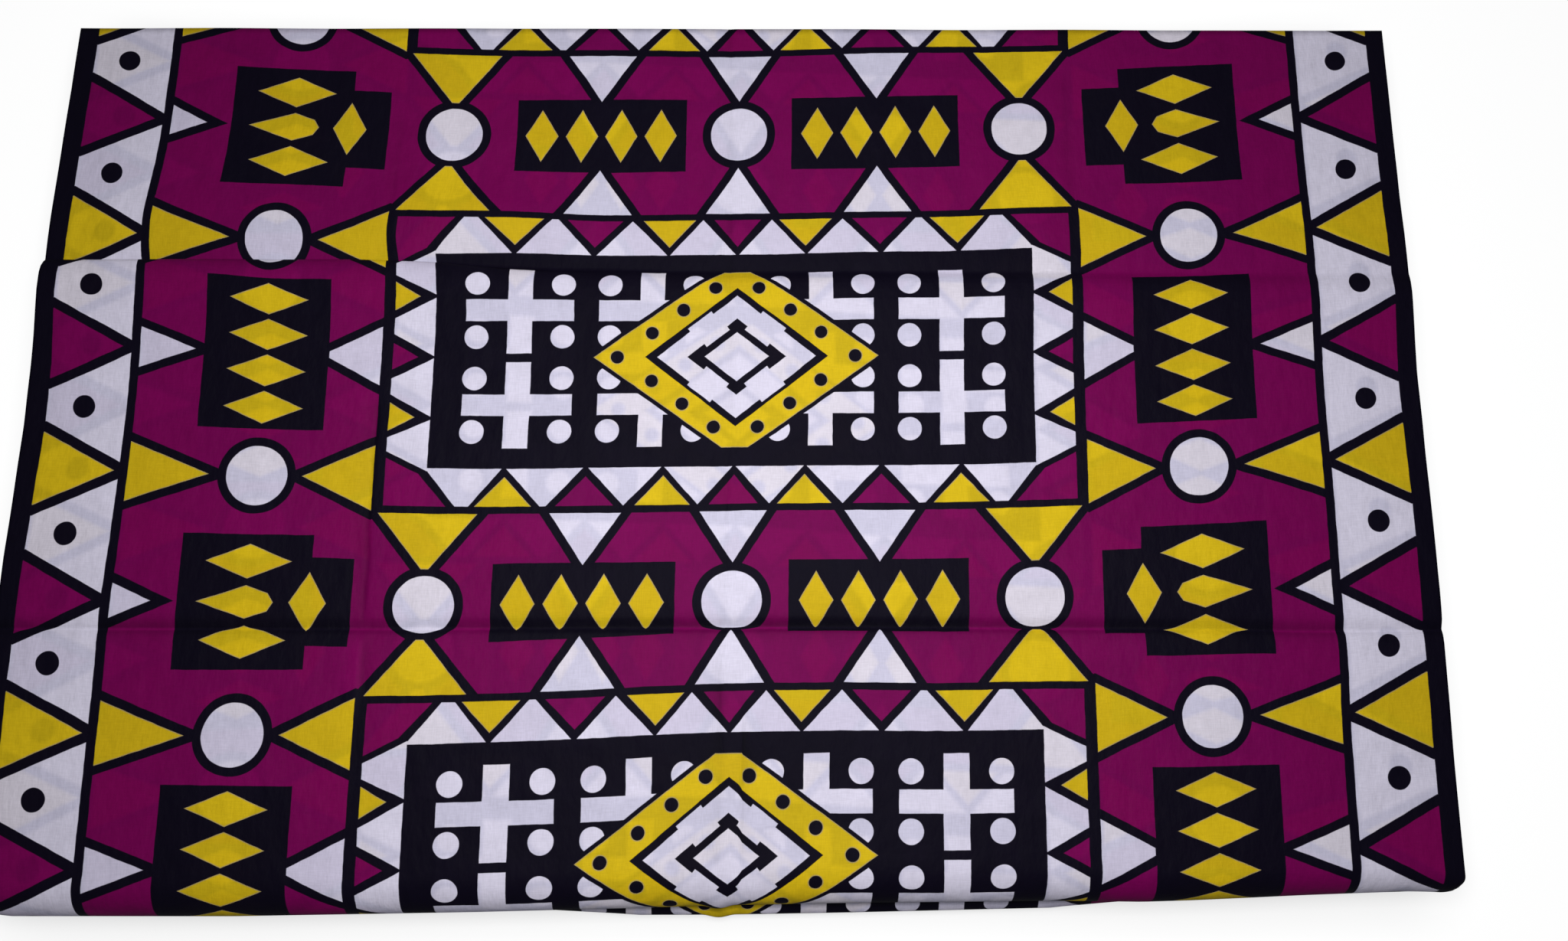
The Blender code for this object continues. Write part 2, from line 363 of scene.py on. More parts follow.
GAP_OUTLINE = 7.0
GAP_TRIANGLES = (
    # ink, middle u, half base, length, blunt end's distance from the gap's middle
    ("white", 0, 27.5, 43, 0),
    ("white", 120.5, 29, 43, 0),
    ("yellow", 248, 40, 48.1, 30),
)
GAP_DISCS = ((0, 0, 24.5), (247, 0, 24.5))
DISC_OUTLINE = 7.3
GAP_BLOCK = (46, 193, 33.5)
GAP_DIAMONDS = ((17.1, 0, 14, 24), (51.5, 0, 14, 24))
GAP_BLOCK_MIDDLE = 120.0

SIDE_TRIANGLES = (
    # ink, base u, middle v, length, half base
    ("white", 294, 0, 47.6, 25),
    ("white", 491.7, 0, 45.7, 17.3),
    ("yellow", 294, 103, 57, 27),
    ("yellow", 491.5, 103, 65.5, 24.3),
)
SIDE_BLUNT_U = 336.5
SIDE_DISC = (387.5, 103, 24.5)
SIDE_DISC_OUTLINE = 7.0
SIDE_BLOCK = (337, 439, 64.5)
SIDE_FOLD_V = 31.0
SIDE_DIAMONDS = (387, 15.5, 32, 13.5)
MIDGAP_BLOCKS = ((337, 441, 54.5), (304, 338, 36.5))
MIDGAP_DIAMONDS = (387, 32.5, 34, 14)
MIDGAP_HEART = (387, 0, 38.5, 13)
MIDGAP_HEART_CUT = ((370.5, 8.5), (365, 0))
MIDGAP_UPRIGHT = (338, 0, 14.5, 24.5)
MIDGAP_WHITE = (492.5, 0, 31, 14)
MIDGAP_BLACK = (492.5, 0, 49, 22)

BORDER_OUTLINE = 8.0
BORDER_TRIANGLES = (
    # ink, base u, middle v, length, half base
    ("yellow", 564.5, 0, 61.5, 29.5),
    ("purple", 564.5, 103, 58.5, 29.5),
)
BORDER_DOT = (535, 51.5, 9.3)

# Printed edges, and the layer beneath that shows through
EDGE_SHARPNESS = 2.0  # a printed edge softens over half a millimetre
UNDER_SHIFT = -2.0  # how far across the layer beneath lies off the top one
UNDER_LAG = (
    # u, how far further along the print the layer beneath lies there
    (-600, 55), (-520, 50), (-390, 44), (-250, 40), (-120, 44), (0, 50), (120, 59),
    (250, 66), (390, 78), (520, 92), (600, 99),
)
UNDER_SHARPNESS = 0.28  # an edge beneath softens over 3.6 millimetres
SHOW_WHITE = (1.0, 1.0, 1.0)  # what each ink beneath leaves of the light ink above it
SHOW_BLACK = (0.850, 0.862, 0.895)
SHOW_YELLOW = (1.0, 0.985, 0.925)
SHOW_PURPLE = (0.885, 0.865, 0.905)
FAINT_SHARE = 0.85  # how much of that shows through the dark inks
FAINT_GAIN = 1.05
LIGHT_INK_PAINTED_SHADE = 0.32  # how much of a crease's painted shade and highlight the white and yellow take

# The cotton's surface, in millimetres
WOBBLE_SIZE = 14.0  # length over which printed edges waver
WOBBLE = (1.1, 1.1, 0.0)  # and how far
BLOTCH_SIZE = 22.0
BLOTCH_TONE = (0.20, 0.90)  # what the blotches add to the tone, and its least
THREAD = 0.42  # from one thread to the next
THREAD_SIZE = 0.9  # width of the uneven stretches of thread
THREAD_RUN = 0.09  # their width over their length
THREAD_TONE = (0.24, 0.76)
WEAVE_BUMP = (0.35, 0.00012)  # strength, and height in metres
RUCK_SIZE = 13.0  # soft unevenness a centimetre or two across
RUCK_STRETCH = (1.0, 0.5, 1.0)
RUCK_HEIGHT = 0.0016  # in metres
COTTON_SURFACE = {"Roughness": 0.55, "Specular IOR Level": 0.045}
EDGE_THREADS_AND_PAINTED_SHEEN = (0.34, 0.32, 0.36)  # undyed threads in the very edge of the selvedge, with a painted sheen
EDGE_THREADS_AND_PAINTED_SHEEN_SHARE = 0.9  # how much of them shows
EDGE_THREADS_AND_PAINTED_SHEEN_TONE = (1.6, -0.2)
PAINTED_SHADE_AND_THREADS_LAYER = "painted_crease_shade_and_edge_threads"  # on the mesh: the creases' painted shade and highlight, or where the edge threads and their painted sheen are

# The layers inside, from the top one down
LAYERS = (
    # height share of its middle, how far it stops short at the left, at the right, at the far end
    (0.955, 0.004, 0.006, 0.004),
    (0.76, 0.007, 0.003, 0.006),
    (0.545, 0.003, 0.008, 0.005),
    (0.33, 0.008, 0.004, 0.007),
    (0.11, 0.005, 0.006, 0.004),
)
LAYER_HALF = 0.0006  # half of a layer's thickness
HOLLOW_DEPTH = 0.024  # how far in the hollow between two layers goes
SIDE_SHOWS = 0.45  # how much of the print in that depth shows beyond the selvedge
LAYER_ROUND = 0.001  # how far an edge's shoulders lie behind its tip
LOOPED = (0, 2)  # layers joined to the next one down by a loop at the far end
LOOP_REACH = 0.004
NOSE_CLEARANCE = 0.0005
INNER_COLUMN_STEP = 3  # every third column of the grid, and every second row
INNER_ROW_STEP = 2
LAYER_PRINT_STEP = 70.0  # how far the print moves on from one layer to the next
LAYER_WAVES = (
    # height, turn for each metre across, for each metre along, for each layer
    (0.0016, 37, 29, 2.1),
    (0.0009, 0, 91, 5),
)
LAYER_RAGGED = (0.0012, 53, 1.7)  # drawn in by, turn for each metre, for each layer

# Plain soft light and a plain pale floor, its glow dimmed near the cloth as a painted shadow
LIGHTS = (
    # name, place, aim, size, power
    ("overhead", (0.027, -0.05, 0.95), (0.027, -0.05, 0), 0.35, 8.4),
    ("key", (0.1, 0.8, 1.05), (0, 0, 0), 0.5, 1),
)
WORLD_LIGHT = {"Color": (0.95, 0.97, 1.0, 1.0), "Strength": 0.16}
PAPER_SURFACE = {"Base Color": (0.20, 0.20, 0.20, 1.0), "Roughness": 0.9,
                 "Specular IOR Level": 0.1, "Emission Color": (1.0, 1.0, 1.0, 1.0)}
FLOOR_REACH = 5.0
FLOOR_DROP = 0.0004
FLOOR_SHADE_REACH = 0.05
FLOOR_GLOW = (0.40, 0.48)  # what open floor adds to the glow, and its least: near the cloth the glow drops towards it, a painted shadow


def centre_x(y):
    """The cloth's middle line, which lies a little askew."""
    along = (y - NEAR_Y) / (FAR_Y - NEAR_Y)
    return CENTRE_SHIFT_NEAR + (CENTRE_SHIFT_FAR - CENTRE_SHIFT_NEAR) * along


def spaced(stretches):
    """Places along a line, from its stretches and their spacing."""
    places = []
    for start, end, spacing in stretches:
        count = max(1, round(abs(end - start) / spacing))
        places.extend(np.linspace(start, end, count, endpoint=False))
    places.append(stretches[-1][1])
    return np.array(places)


def looked_up(table, places, column=1):
    """A column of a table at places along its first column, which may run up or down."""
    values = np.array(table)
    if values[0, 0] > values[-1, 0]:
        values = values[::-1]
    return np.interp(places, values[:, 0], values[:, column])


def section_value(c, column):
    """A column of SECTIONS at section places c, with its corners rounded over a few millimetres."""
    total = 0.0
    for step, weight in ROUNDING_WEIGHTS:
        total += weight * looked_up(SECTIONS, c + step * SECTION_ROUNDING, column)
    return total / sum(weight for _, weight in ROUNDING_WEIGHTS)


def base_grid(shares):
    """The cloth's outer face as rows of points, from the far edge round the near fold and under."""
    foremost = NEAR_Y + looked_up(NEAR_FOLD, shares, 1)
    depth = looked_up(NEAR_FOLD, shares, 2)
    bulge = looked_up(NEAR_FOLD, shares, 3)
    pinch = np.cos(np.clip(np.abs(shares * CLOTH_WIDTH / 2 - PINCH_X) / PINCH_HALF_WIDTH, 0, 1)
                   * math.pi)
    pinch = PINCH_HEIGHT * (0.5 + 0.5 * pinch)
    side = np.abs(shares) ** SIDE_POWER
    near_edge = np.clip((np.abs(shares) - EDGE_SWAY_SHARE) / (1 - EDGE_SWAY_SHARE), 0, 1)
    rows = []
    for c in spaced(TOP_ROWS):
        left, middle, right = (section_value(c, k) for k in range(1, 4))
        edge = np.where(shares < 0, left, right)
        z = middle + (edge - middle) * side
        y = c + looked_up(FAR_CREASE, shares) * looked_up(CREASE_SWAY, c, 1)
        y = y + looked_up(NEAR_CREASE, shares) * looked_up(CREASE_SWAY, c, 2)
        y = y - looked_up(RIDGE_TUCK, shares) * looked_up(RIDGE_TUCK_ROWS, c)
        drawn = np.where(shares < 0, looked_up(EDGE_SWAY, c, 1), -looked_up(EDGE_SWAY, c, 2))
        rows.append((y, z, near_edge * drawn / 1000))
    last_y, last_z, _ = rows[-1]
    start = foremost + depth
    for step in range(1, APPROACH_ROWS + 1):
        along = step / (APPROACH_ROWS + 1)
        rows.append((last_y + (start - last_y) * along, last_z, 0.0))
    top_count = len(rows)
    half = last_z / 2
    for step in range(NOSE_ROWS + 1):
        turn = math.pi * step / NOSE_ROWS
        reach = depth if turn < math.pi / 2 else NOSE_LOW_DEPTH
        out = math.sin(turn)
        z = half + half * math.cos(turn)
        low = bulge * np.sin(math.pi * np.clip(z / LOWER_BULGE_HEIGHT, 0, 1))
        rows.append((foremost + reach * (1 - out) - pinch * out - low, z, 0.0))
    low_y = rows[-1][0]
    for step in range(1, UNDER_ROWS + 1):
        along = step / UNDER_ROWS
        rows.append((low_y + (FAR_Y - low_y) * along, np.zeros_like(shares), 0.0))
    grid = np.zeros((len(rows), len(shares), 3))
    for i, (y, z, drawn) in enumerate(rows):
        grid[i, :, 0] = centre_x(y) + shares * CLOTH_WIDTH / 2 + drawn
        grid[i, :, 1] = y
        grid[i, :, 2] = z
    return grid, top_count


def outward(grid):
    """Unit normals of a grid of points, away from the fold's inside."""
    along = np.gradient(grid, axis=0)
    across = np.gradient(grid, axis=1)
    normal = np.cross(along, across)
    normal /= np.linalg.norm(normal, axis=2)[:, :, None]
    return normal


def print_places(grid, shares):
    """The chart's u and v, in millimetres, at each point of the grid."""
    steps = np.linalg.norm(np.diff(grid[:, :, 1:], axis=0), axis=2)
    first, last = (int(np.argmin(np.abs(spaced(TOP_ROWS) - c))) for c in RIDGE_ROWS)
    run = grid[first, :, 1] - grid[last, :, 1]
    spare = steps[first:last].sum(axis=0) - run - looked_up(RIDGE_TAKES, shares) / 1000
    down = np.abs(np.diff(grid[first:last + 1], axis=0))
    steep = down[:, :, 2] > RIDGE_STEEP * down[:, :, 1]
    face = np.where(steep, steps[first:last], 0.0).sum(axis=0)
    scale = np.clip(1 - spare / np.maximum(face, LEAST_FACE), *RIDGE_SCALES)
    steps[first:last] *= np.where(steep, scale, 1)
    length = np.vstack([np.zeros(len(shares)), np.cumsum(steps, axis=0)])
    u = np.tile(shares * CLOTH_WIDTH / 2 * 1000, (len(grid), 1))
    v = np.zeros_like(u)
    near_crease = NEAR_CREASE_ROW + looked_up(NEAR_CREASE, shares)
    hides = looked_up(PLEAT_HIDES, shares)
    for j in range(len(shares)):
        y = grid[:, j, 1]
        top = int(np.argmin(y))
        start = np.interp(-PANEL_Y, -y[:top], length[:top, j])
        away = (start - length[:, j]) * 1000
        bow_run = np.clip(away, *BOW_RUN) / BOW_LENGTH
        bow = (BOW + BOW_GAIN * bow_run) * (u[:, j] / BOW_AT) ** 2
        past = 0.5 - 0.5 * np.tanh((y - near_crease[j]) / HIDING_FADE)
        past[top:] = 1.0
        v[:, j] = CLOTH_STRETCH * (away - bow) - hides[j] * past
    across, along = u.copy(), v.copy()
    tucked = np.interp(-grid[:, :, 1], [-y for y in TUCK_STARTS], (0.0, TUCK_HIDES / 2))
    off = across - TUCK_U
    u += tucked * np.tanh(off / TUCK_WIDTH) * np.exp(-np.abs(off) / TUCK_REACH)
    for pull_u, pull_v, reach, du, dv in PULLS:
        share = np.exp(-((across - pull_u) ** 2 + (along - pull_v) ** 2) / reach ** 2)
        u += du * share
        v += dv * share
    return u, v


def crease_share(row, u, y):
    """How near each point lies to a crease lengthways, from 0 to 1 at the crease."""
    far_u, near_u, far_y, near_y, _, left, right, _ = row
    along = np.clip((far_y - y) / (far_y - near_y), 0, 1)
    off = u - (far_u + (near_u - far_u) * along)
    for size, turn in CREASE_WAVER:
        off -= size * np.sin(y * turn)
    inside = np.clip(np.minimum(far_y - y, y - near_y) / CREASE_FADE, 0, 1)
    return inside * np.exp(-np.abs(off) / np.where(off < 0, left, right))


def painted_crease_shade_and_edge_threads(grid, u, shares, top_count):
    """Painted shade and highlight at each point, in and beside the creases: how much darker or
    lighter the inks are made there.
    """
    y = grid[:, :, 1]
    tone = np.zeros_like(y)
    for row in CREASES:
        tone += row[7] * crease_share(row, u, y)
    for line, sway, tones, strengths in (
            (NEAR_CREASE_ROW, NEAR_CREASE, NEAR_CREASE_PAINTED_SHADE_AND_HIGHLIGHT, NEAR_CREASE_STRENGTH),
            (FAR_CREASE_LINE, FAR_CREASE, FAR_CREASE_PAINTED_SHADE, FAR_CREASE_STRENGTH)):
        off = (y - line - looked_up(sway, shares)) * 1000
        tone += looked_up(tones, off) * looked_up(strengths, shares)
    tone[top_count:] = 0.0
    return tone


def relief(grid, u, top_count):
    """Small creases and soft waves, as a height off the base form."""
    x, y = grid[:, :, 0], grid[:, :, 1]
    rng = np.random.default_rng(WAVE_SEED)
    height = np.zeros_like(x)
    for _ in range(WAVES):
        angle = rng.uniform(0, math.pi)
        length = rng.uniform(*WAVE_LENGTHS)
        phase = rng.uniform(0, 2 * math.pi)
        run = x * math.cos(angle) + y * math.sin(angle)
        height += WAVE_HEIGHT * np.sin(2 * math.pi * run / length + phase)
    for row in CREASES:
        height += row[4] / 1000 * crease_share(row, u, y)
    for swell_x, swell_y, across, down, lift in SWELLS:
        reach = ((x - swell_x) / across) ** 2 + ((y - swell_y) / down) ** 2
        height += lift / 1000 * np.exp(-reach)
    fade = np.ones(len(grid))
    foremost = top_count + NOSE_ROWS // 2
    fade[top_count:foremost] = np.linspace(1, 0, NOSE_ROWS // 2)
    fade[foremost:] = 0.0
    return height * fade[:, None]


def zone_of(u):
    """0 in the middle field, 1 in the side column, 2 in the border."""
    return int(abs(u) > ZONE_EDGES[0]) + int(abs(u) > ZONE_EDGES[1])


def add_object(name, data):
    """A new object in the scene."""
    made = bpy.data.objects.new(name, data)
    bpy.context.scene.collection.objects.link(made)
    return made


def finish_mesh(name, mesh, places, materials, tones):
    """Makes the object, with the chart's places as its UVs and a material for each zone."""
    layer = mesh.loops.layers.uv.new("cloth")
    for face in mesh.faces:
        middle = 0.0
        for loop in face.loops:
            u, v = places[loop.vert.index]
            loop[layer].uv = (u / 1000, v / 1000)
            middle += u
        face.material_index = zone_of(middle / len(face.loops))
        face.smooth = True
    data = bpy.data.meshes.new(name)
    mesh.to_mesh(data)
    mesh.free()
    # painted shade and highlight in the creases, or the edge threads with their painted sheen
    layer = data.attributes.new(PAINTED_SHADE_AND_THREADS_LAYER, "FLOAT", "POINT")
    layer.data.foreach_set("value", tones)
    for material in materials:
        data.materials.append(material)
    return add_object(name, data)


def add_points(mesh, places, points, u, v):
    """Adds a grid of vertices and notes their places on the chart."""
    places.extend(zip(u.ravel(), v.ravel()))
    return [[mesh.verts.new(point) for point in row] for row in points]


def skin(mesh, verts, flip):
    """Fills a grid of vertices with quads."""
    for row, after in zip(verts, verts[1:]):
        for a, b, c, d in zip(row, row[1:], after[1:], after):
            mesh.faces.new((d, c, b, a) if flip else (a, b, c, d))


def rim(rows):
    """The items round the edge of a grid, in order."""
    ends = [row[-1] for row in rows[1:-1]]
    starts = [row[0] for row in rows[1:-1]]
    return rows[0] + ends + rows[-1][::-1] + starts[::-1]


def join_rims(mesh, one, other):
    """Closes the space between two edges with the same number of vertices."""
    count = len(one)
    for i in range(count):
        j = (i + 1) % count
        mesh.faces.new((one[i], one[j], other[j], other[i]))


def column_shares():
    """The grid's columns as shares of the half width, the same on both sides."""
    right = spaced(COLUMN_STRETCHES) / COLUMN_STRETCHES[-1][1]
    return np.concatenate([-right[:0:-1], right])


def build_outer(grid, shares, top_count, materials):
    """The cloth that shows, as a thin closed shell."""
    u, v = print_places(grid, shares)
    normals = outward(grid)
    face = grid + normals * relief(grid, u, top_count)[:, :, None]
    back = face - normals * SHELL
    back[top_count + NOSE_ROWS:, :, 2] = SHELL
    mesh = bmesh.new()
    places = []
    outside = add_points(mesh, places, face, u, v)
    inside = add_points(mesh, places, back, u, v)
    mesh.verts.index_update()
    skin(mesh, outside, flip=False)
    skin(mesh, inside, flip=True)
    join_rims(mesh, rim(outside), rim(inside))
    bmesh.ops.recalc_face_normals(mesh, faces=mesh.faces)
    # painted shade and highlight in the creases
    tones = np.tile(painted_crease_shade_and_edge_threads(grid, u, shares, top_count).ravel(), 2)
    return finish_mesh("printed_cloth", mesh, places, materials, tones)


class Pen:
    """Adds nodes to a tree. Each is made just before it is used, so few values are held at once."""

    def __init__(self, tree):
        self.tree = tree
        self.sharpness = None
        self.ink = None

    def fill(self, node, inputs):
        """Gives a node its inputs, each a number, a tuple or another node's socket."""
        for key, value in inputs.items():
            if isinstance(value, bpy.types.NodeSocket):
                self.tree.links.new(value, node.inputs[key])
            else:
                node.inputs[key].default_value = value

    def node(self, kind, inputs, **settings):
        """A new node with its settings and inputs."""
        made = self.tree.nodes.new(kind)
        for key, value in settings.items():
            setattr(made, key, value)
        self.fill(made, inputs)
        return made

    def maths(self, operation, *values, clamp=False):
        """A Math node's result."""
        return self.node("ShaderNodeMath", dict(enumerate(values)), operation=operation,
                         use_clamp=clamp).outputs[0]

    def less(self, one, other):
        """One value less another."""
        return self.maths("SUBTRACT", one, other)

    def apart(self, one, other):
        """How far two values lie apart."""
        return self.maths("ABSOLUTE", self.less(one, other))

    def fewest(self, distance, *others):
        """Distance inside all of several shapes."""
        for other in others:
            distance = self.maths("MINIMUM", distance, other)
        return distance

    def most(self, distance, other):
        """Distance inside either of two shapes."""
        return self.maths("MAXIMUM", distance, other)

    def vector(self, operation, *values, out=0):
        """A Vector Math node's result."""
        return self.node("ShaderNodeVectorMath", dict(enumerate(values)),
                         operation=operation).outputs[out]

    def scaled(self, vector, size):
        """A vector or a colour times a value."""
        return self.node("ShaderNodeVectorMath", {0: vector, "Scale": size},
                         operation="SCALE").outputs[0]

    def join(self, x, y):
        """A vector from two values."""
        return self.node("ShaderNodeCombineXYZ", {0: x, 1: y}).outputs[0]

    def split(self, place):
        """A vector's first two values."""
        return self.node("ShaderNodeSeparateXYZ", {0: place}).outputs[:2]

    def diamond(self, place, row, grow=0.0):
        """Distance inside a rhombus: its middle u and v, and its half width along each."""
        u, v, half_u, half_v = row
        steep = half_u * half_v / math.hypot(half_u, half_v)
        away = self.vector("ABSOLUTE", self.vector("SUBTRACT", place, (u, v, 0.0)))
        reach = self.vector("DOT_PRODUCT", away, (steep / half_u, steep / half_v, 0.0), out=1)
        return self.less(steep + grow, reach)

    def disc(self, place, row, grow=0.0):
        """Distance inside a disc: its middle u and v, and its radius."""
        u, v, radius = row
        return self.less(radius + grow, self.vector("DISTANCE", place, (u, v, 0.0), out=1))

    def box(self, place, row):
        """Distance inside a rectangle on the u axis: from u, to u, and its half width along v."""
        low, high, half = row
        middle = ((low + high) / 2, 0.0, 0.0)
        away = self.vector("ABSOLUTE", self.vector("SUBTRACT", place, middle))
        x, y = self.split(self.vector("SUBTRACT", ((high - low) / 2, half, 0.0), away))
        return self.maths("MINIMUM", x, y)

    def beyond(self, place, one, other):
        """Distance to the left of the line from one point to another."""
        along = (other[0] - one[0], other[1] - one[1])
        size = math.hypot(*along)
        normal = (-along[1] / size, along[0] / size)
        reach = self.vector("DOT_PRODUCT", place, (*normal, 0.0), out=1)
        return self.less(reach, one[0] * normal[0] + one[1] * normal[1])

    def mix(self, share, *colours):
        """One colour going over into another, each a tuple or a socket."""
        one, other = ((*colour, 1.0) if isinstance(colour, tuple) else colour
                      for colour in colours)
        made = self.node("ShaderNodeMix", {MIX_SHARE: share, MIX_ONE: one, MIX_OTHER: other},
                         data_type="RGBA", clamp_factor=True)
        return made.outputs[MIX_RESULT]

    def inside(self, distance):
        """0 outside a shape, 1 inside it, and half at its printed edge."""
        return self.maths("MULTIPLY_ADD", distance, self.sharpness, 0.5, clamp=True)

    def paint(self, distance, colour):
        """Lays a colour over the ink inside a shape."""
        share = self.inside(distance)
        if colour == "yellow":
            self.ink = self.mix(share, self.ink, INKS["rim"])
            share = self.inside(self.less(distance, RIM_WIDTH))
        self.ink = self.mix(share, self.ink, INKS[colour])

    def gem(self, place, row, colour, grow=0.0):
        """Lays a colour over the ink inside a rhombus."""
        self.paint(self.diamond(place, row, grow), colour)


def start_chart(name):
    """A pen on a new node group, with the place folded into one quarter of the repeat."""
    tree = bpy.data.node_groups.new(name, "ShaderNodeTree")
    tree.interface.new_socket("Place", in_out="INPUT", socket_type="NodeSocketVector")
    tree.interface.new_socket("Sharpness", in_out="INPUT", socket_type="NodeSocketFloat")
    tree.interface.new_socket("Ink", in_out="OUTPUT", socket_type="NodeSocketColor")
    pen = Pen(tree)
    source = tree.nodes.new("NodeGroupInput")
    pen.sharpness = source.outputs["Sharpness"]
    across, along = pen.split(source.outputs["Place"])
    u = pen.maths("ABSOLUTE", across)
    v = pen.maths("PINGPONG", along, PITCH / 2)
    return pen, u, v


def end_chart(pen):
    """Sends the ink out of the pen's group, and gives the group."""
    pen.node("NodeGroupOutput", {"Ink": pen.ink})
    return pen.tree


def paint_diamond(pen, place, v):
    """The yellow diamond in the middle of the panel, with its dots, eye and ring."""
    outer = pen.diamond(place, DIAMOND)
    pen.paint(pen.maths("ADD", outer, DIAMOND_MARGIN), "black")
    pen.paint(pen.fewest(outer, pen.less(DIAMOND_CUT, v)), "yellow")
    dots = pen.disc(place, DIAMOND_DOTS[0])
    for dot in DIAMOND_DOTS[1:]:
        dots = pen.most(dots, pen.disc(place, dot))
    pen.paint(pen.maths("ADD", dots, DOT_HALO), "rim")
    pen.paint(dots, "black")
    edge = pen.diamond(place, EYE_BLACK)
    pen.paint(edge, "black")
    half_u, half_v = EYE_BLACK[2:]
    size = math.hypot(half_u, half_v)
    run = pen.vector("DOT_PRODUCT", place, (half_u / size, -half_v / size, 0.0), out=1)
    thin, low, high = EYE_SWELL
    swell = pen.fewest(pen.less(edge, thin), pen.less(high, run), pen.less(run, low))
    pen.paint(pen.most(pen.diamond(place, EYE_WHITE), swell), "white")
    side_step, top_step = EYE_RING_STEPS
    ends = pen.most(pen.less(run, side_step), pen.less(top_step, run))
    ends = pen.fewest(ends, pen.diamond(place, EYE_RING_ENDS))
    pen.paint(pen.most(ends, pen.diamond(place, EYE_RING)), "black")
    pen.gem(place, EYE_CORE, "white")


def paint_panel(pen, u, v):
    """The panel: its teeth, black field, crosses with discs, and the diamond."""
    place = pen.join(u, v)
    pen.ink = INKS["black"]
    for colour, *row in PANEL_TEETH:
        pen.gem(place, row, colour)
    first, bend, last = PANEL_CORNER
    corner = pen.fewest(pen.beyond(place, first, bend), pen.beyond(place, bend, last))
    pen.paint(corner, "purple")
    pen.paint(pen.box(place, PANEL_BLOCK), "black")
    across = u
    for fold in CROSS_FOLD_U:
        across = pen.apart(across, fold)
    cross = pen.join(across, pen.apart(v, CROSS_FOLD_V))
    for row in CROSS_BARS:
        pen.paint(pen.box(cross, row), "white")
    pen.paint(pen.disc(cross, CROSS_DISC), "white")
    paint_diamond(pen, place, v)
    pen.paint(pen.less(v, PANEL_EDGE), "black")
    pen.paint(pen.less(u, FIELD_EDGE[0]), "black")
    return pen.ink


def gap_triangle(pen, place, away, row, grow=0.0):
    """Distance inside one of the triangles that point into the gap."""
    _, middle, half, length, blunt = row
    distance = pen.diamond(place, (middle, PITCH / 2 - GAP_EDGE, half, length), grow)
    if blunt:
        distance = pen.fewest(distance, pen.less(away, blunt - grow))
    return distance


def paint_gap(pen, u, away):
    """The gap between two panels: discs, blocks of diamonds and triangles on purple."""
    place = pen.join(u, away)
    pen.ink = INKS["purple"]
    for row in GAP_TRIANGLES:
        pen.paint(gap_triangle(pen, place, away, row, GAP_OUTLINE), "black")
    pen.paint(pen.box(place, GAP_BLOCK), "black")
    for row in GAP_DISCS:
        pen.paint(pen.disc(place, row, DISC_OUTLINE), "black")
    for row in GAP_TRIANGLES:
        pen.paint(gap_triangle(pen, place, away, row), row[0])
    for row in GAP_DISCS:
        pen.paint(pen.disc(place, row), "white")
    folded = pen.join(pen.apart(u, GAP_BLOCK_MIDDLE), away)
    for row in GAP_DIAMONDS:
        pen.gem(folded, row, "yellow")
    return pen.ink


def chart_field():
    """The middle field: panels and the gaps between them."""
    pen, u, v = start_chart("chart_field")
    panel = paint_panel(pen, u, v)
    gap = paint_gap(pen, u, pen.less(PITCH / 2, v))
    pen.ink = pen.mix(pen.inside(pen.less(v, GAP_EDGE)), panel, gap)
    return end_chart(pen)


def chart_side():
    """The side column: blocks of diamonds, discs in rings and triangles on purple."""
    pen, u, v = start_chart("chart_side")
    place = pen.join(u, v)
    away = pen.less(PITCH / 2, v)
    gap_place = pen.join(u, away)
    pen.ink = INKS["purple"]
    pen.paint(gap_triangle(pen, gap_place, away, GAP_TRIANGLES[-1], GAP_OUTLINE), "black")
    for _, *row in SIDE_TRIANGLES:
        pen.gem(place, row, "black", GAP_OUTLINE)
    pen.paint(pen.disc(place, SIDE_DISC, SIDE_DISC_OUTLINE), "black")
    pen.paint(pen.box(place, SIDE_BLOCK), "black")
    for row in MIDGAP_BLOCKS:
        pen.paint(pen.box(gap_place, row), "black")
    pen.gem(gap_place, MIDGAP_BLACK, "black")
    for colour, *row in SIDE_TRIANGLES:
        distance = pen.diamond(place, row)
        if colour == "white" and row[0] == FIELD_EDGE[1]:
            distance = pen.fewest(distance, pen.less(SIDE_BLUNT_U, u))
        pen.paint(distance, colour)
    pen.paint(pen.disc(place, SIDE_DISC), "white")
    folded = pen.join(u, pen.apart(v, SIDE_FOLD_V))
    pen.gem(folded, SIDE_DIAMONDS, "yellow")
    pen.gem(gap_place, MIDGAP_DIAMONDS, "yellow")
    heart = pen.diamond(gap_place, MIDGAP_HEART)
    pen.paint(pen.fewest(heart, pen.beyond(gap_place, *MIDGAP_HEART_CUT)), "yellow")
    pen.gem(gap_place, MIDGAP_UPRIGHT, "yellow")
    pen.gem(gap_place, MIDGAP_WHITE, "white")
    pen.paint(pen.fewest(pen.less(FIELD_EDGE[1], u), pen.less(GAP_EDGE, v)), "black")
    pen.paint(pen.less(u, BORDER_LINE[0]), "black")
    return end_chart(pen)


def chart_border():
    """The border: triangles on the selvedge, and dots on white between them."""
    pen, u, v = start_chart("chart_border")
    place = pen.join(u, pen.apart(v, PITCH / 4))
    pen.ink = INKS["white"]
    for _, *row in BORDER_TRIANGLES:
        pen.gem(place, row, "black", BORDER_OUTLINE)
    for colour, *row in BORDER_TRIANGLES:
        pen.gem(place, row, colour)
    pen.paint(pen.disc(place, BORDER_DOT), "black")
    pen.paint(pen.less(BORDER_LINE[1], u), "black")
    pen.paint(pen.less(u, SELVEDGE), "black")
    return end_chart(pen)


